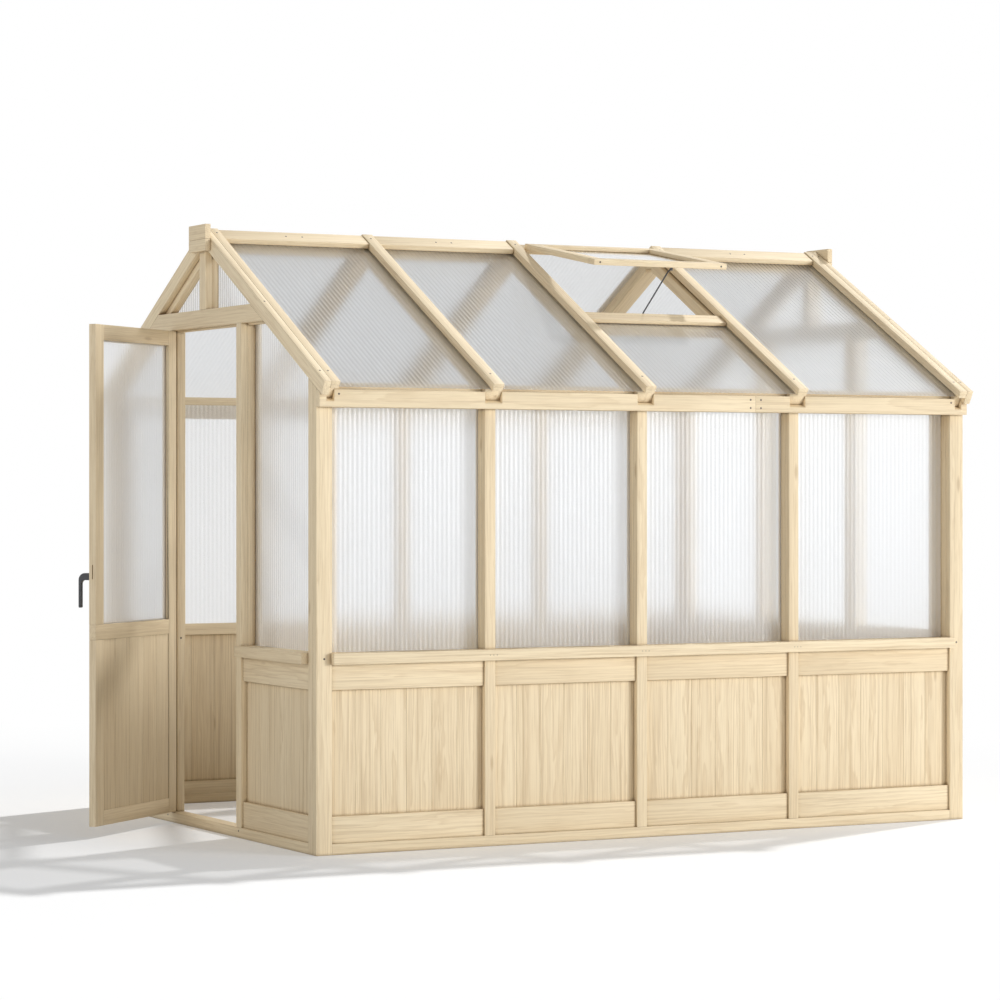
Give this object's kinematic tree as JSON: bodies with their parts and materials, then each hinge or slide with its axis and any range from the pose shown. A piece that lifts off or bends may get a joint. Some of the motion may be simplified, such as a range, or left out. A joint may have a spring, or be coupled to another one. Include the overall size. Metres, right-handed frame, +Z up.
{
  "type": "walk-in wooden greenhouse",
  "caption": "Walk-in softwood greenhouse with fluted translucent sheets, boarded lower walls, a hinged door and a roof vent on a stay.",
  "frame": {"origin": "middle of the doorway on the underside of the threshold, halfway through the wall's thickness", "axes": "+X along the house from the door gable to the rear gable, +Z up, -Y is the long wall under the roof vent"},
  "size_m": [2.9135, 1.934, 2.0109],
  "materials": {
    "timber": "planed softwood, untreated, pale",
    "cladding": "planed softwood boards, untreated, pale",
    "glazing": "translucent fluted sheet",
    "black_metal": "satin black",
    "zinc": "zinc plated, dull",
    "dark_steel": "browned screw heads"
  },
  "bodies": {
    "root": {"barge_rafters": "timber", "corner_boards": "timber", "corner_stiles": "timber", "cover_strips": "timber", "door_jamb_hinge_leaves": "zinc", "door_jambs": "timber", "eave_beam_back": "timber", "eave_beam_front": "timber", "frame_screws": "dark_steel", "gable_collars": "timber", "gable_sheets_door_end": "glazing", "gable_sheets_rear_end": "glazing", "head_plates_back": "timber", "head_plates_front": "timber", "king_posts": "timber", "latch_keeper": "zinc", "panel_boards_back": "cladding", "panel_boards_front": "cladding", "panel_boards_gables": "cladding", "panel_frame_back": "timber", "panel_frame_front": "timber", "panel_frame_gables": "timber", "rafters_back": "timber", "rafters_front": "timber", "rear_studs": "timber", "ridge_beam": "timber", "ridge_boards": "timber", "ridge_caps": "timber", "roof_battens_back": "timber", "roof_battens_front": "timber", "roof_sheets_back": "glazing", "roof_sheets_front": "glazing", "sill_nails": "dark_steel", "sole_plates": "timber", "stay_rest_pin": "zinc", "studs_back": "timber", "studs_front": "timber", "vent_header_hinge_leaves": "zinc", "vent_opening_frame": "timber", "wall_sheets_back": "glazing", "wall_sheets_front": "glazing", "window_sills": "timber"},
    "door": {"door_stiles": "timber", "door_rails": "timber", "door_boards": "cladding", "door_sheet": "glazing", "door_beads": "timber", "door_hinge_leaves": "zinc", "door_hinge_pins": "zinc", "handle_rose": "black_metal"},
    "handle": {"handle_lever": "black_metal", "latch_tongue": "zinc"},
    "vent": {"sash_rails": "timber", "sash_sheet": "glazing", "sash_hinge_leaves": "zinc", "vent_hinge_pins": "zinc", "stay_bracket": "black_metal", "sash_screws": "dark_steel"},
    "stay": {"stay_rod": "black_metal"}
  },
  "joints": [
    {"name": "door_swing", "type": "hinge", "parent": "root", "child": "door", "pos_m": [-0.03, 0.2815, 0.84], "axis": [0, 0, -1], "range_deg": [-50, 85]},
    {"name": "handle_turn", "type": "hinge", "parent": "door", "child": "handle", "pos_m": [-0.43977, -0.06325, 0.848], "axis": [0.6428, -0.766, 0], "range_deg": [0, 90]},
    {"name": "vent_tilt", "type": "hinge", "parent": "root", "child": "vent", "pos_m": [1.433, -0.03594, 1.97492], "axis": [-1, 0, 0], "range_deg": [-19.35, 0]},
    {"name": "stay_swing", "type": "hinge", "parent": "vent", "child": "stay", "pos_m": [1.5015, -0.48197, 1.88378], "axis": [0, 0.9858, 0.1678], "range_deg": [-0.5, 58.5]}
  ],
  "couplings": [
    {"joint": "stay_swing", "follows": "vent_tilt", "ratio": -3}
  ]
}
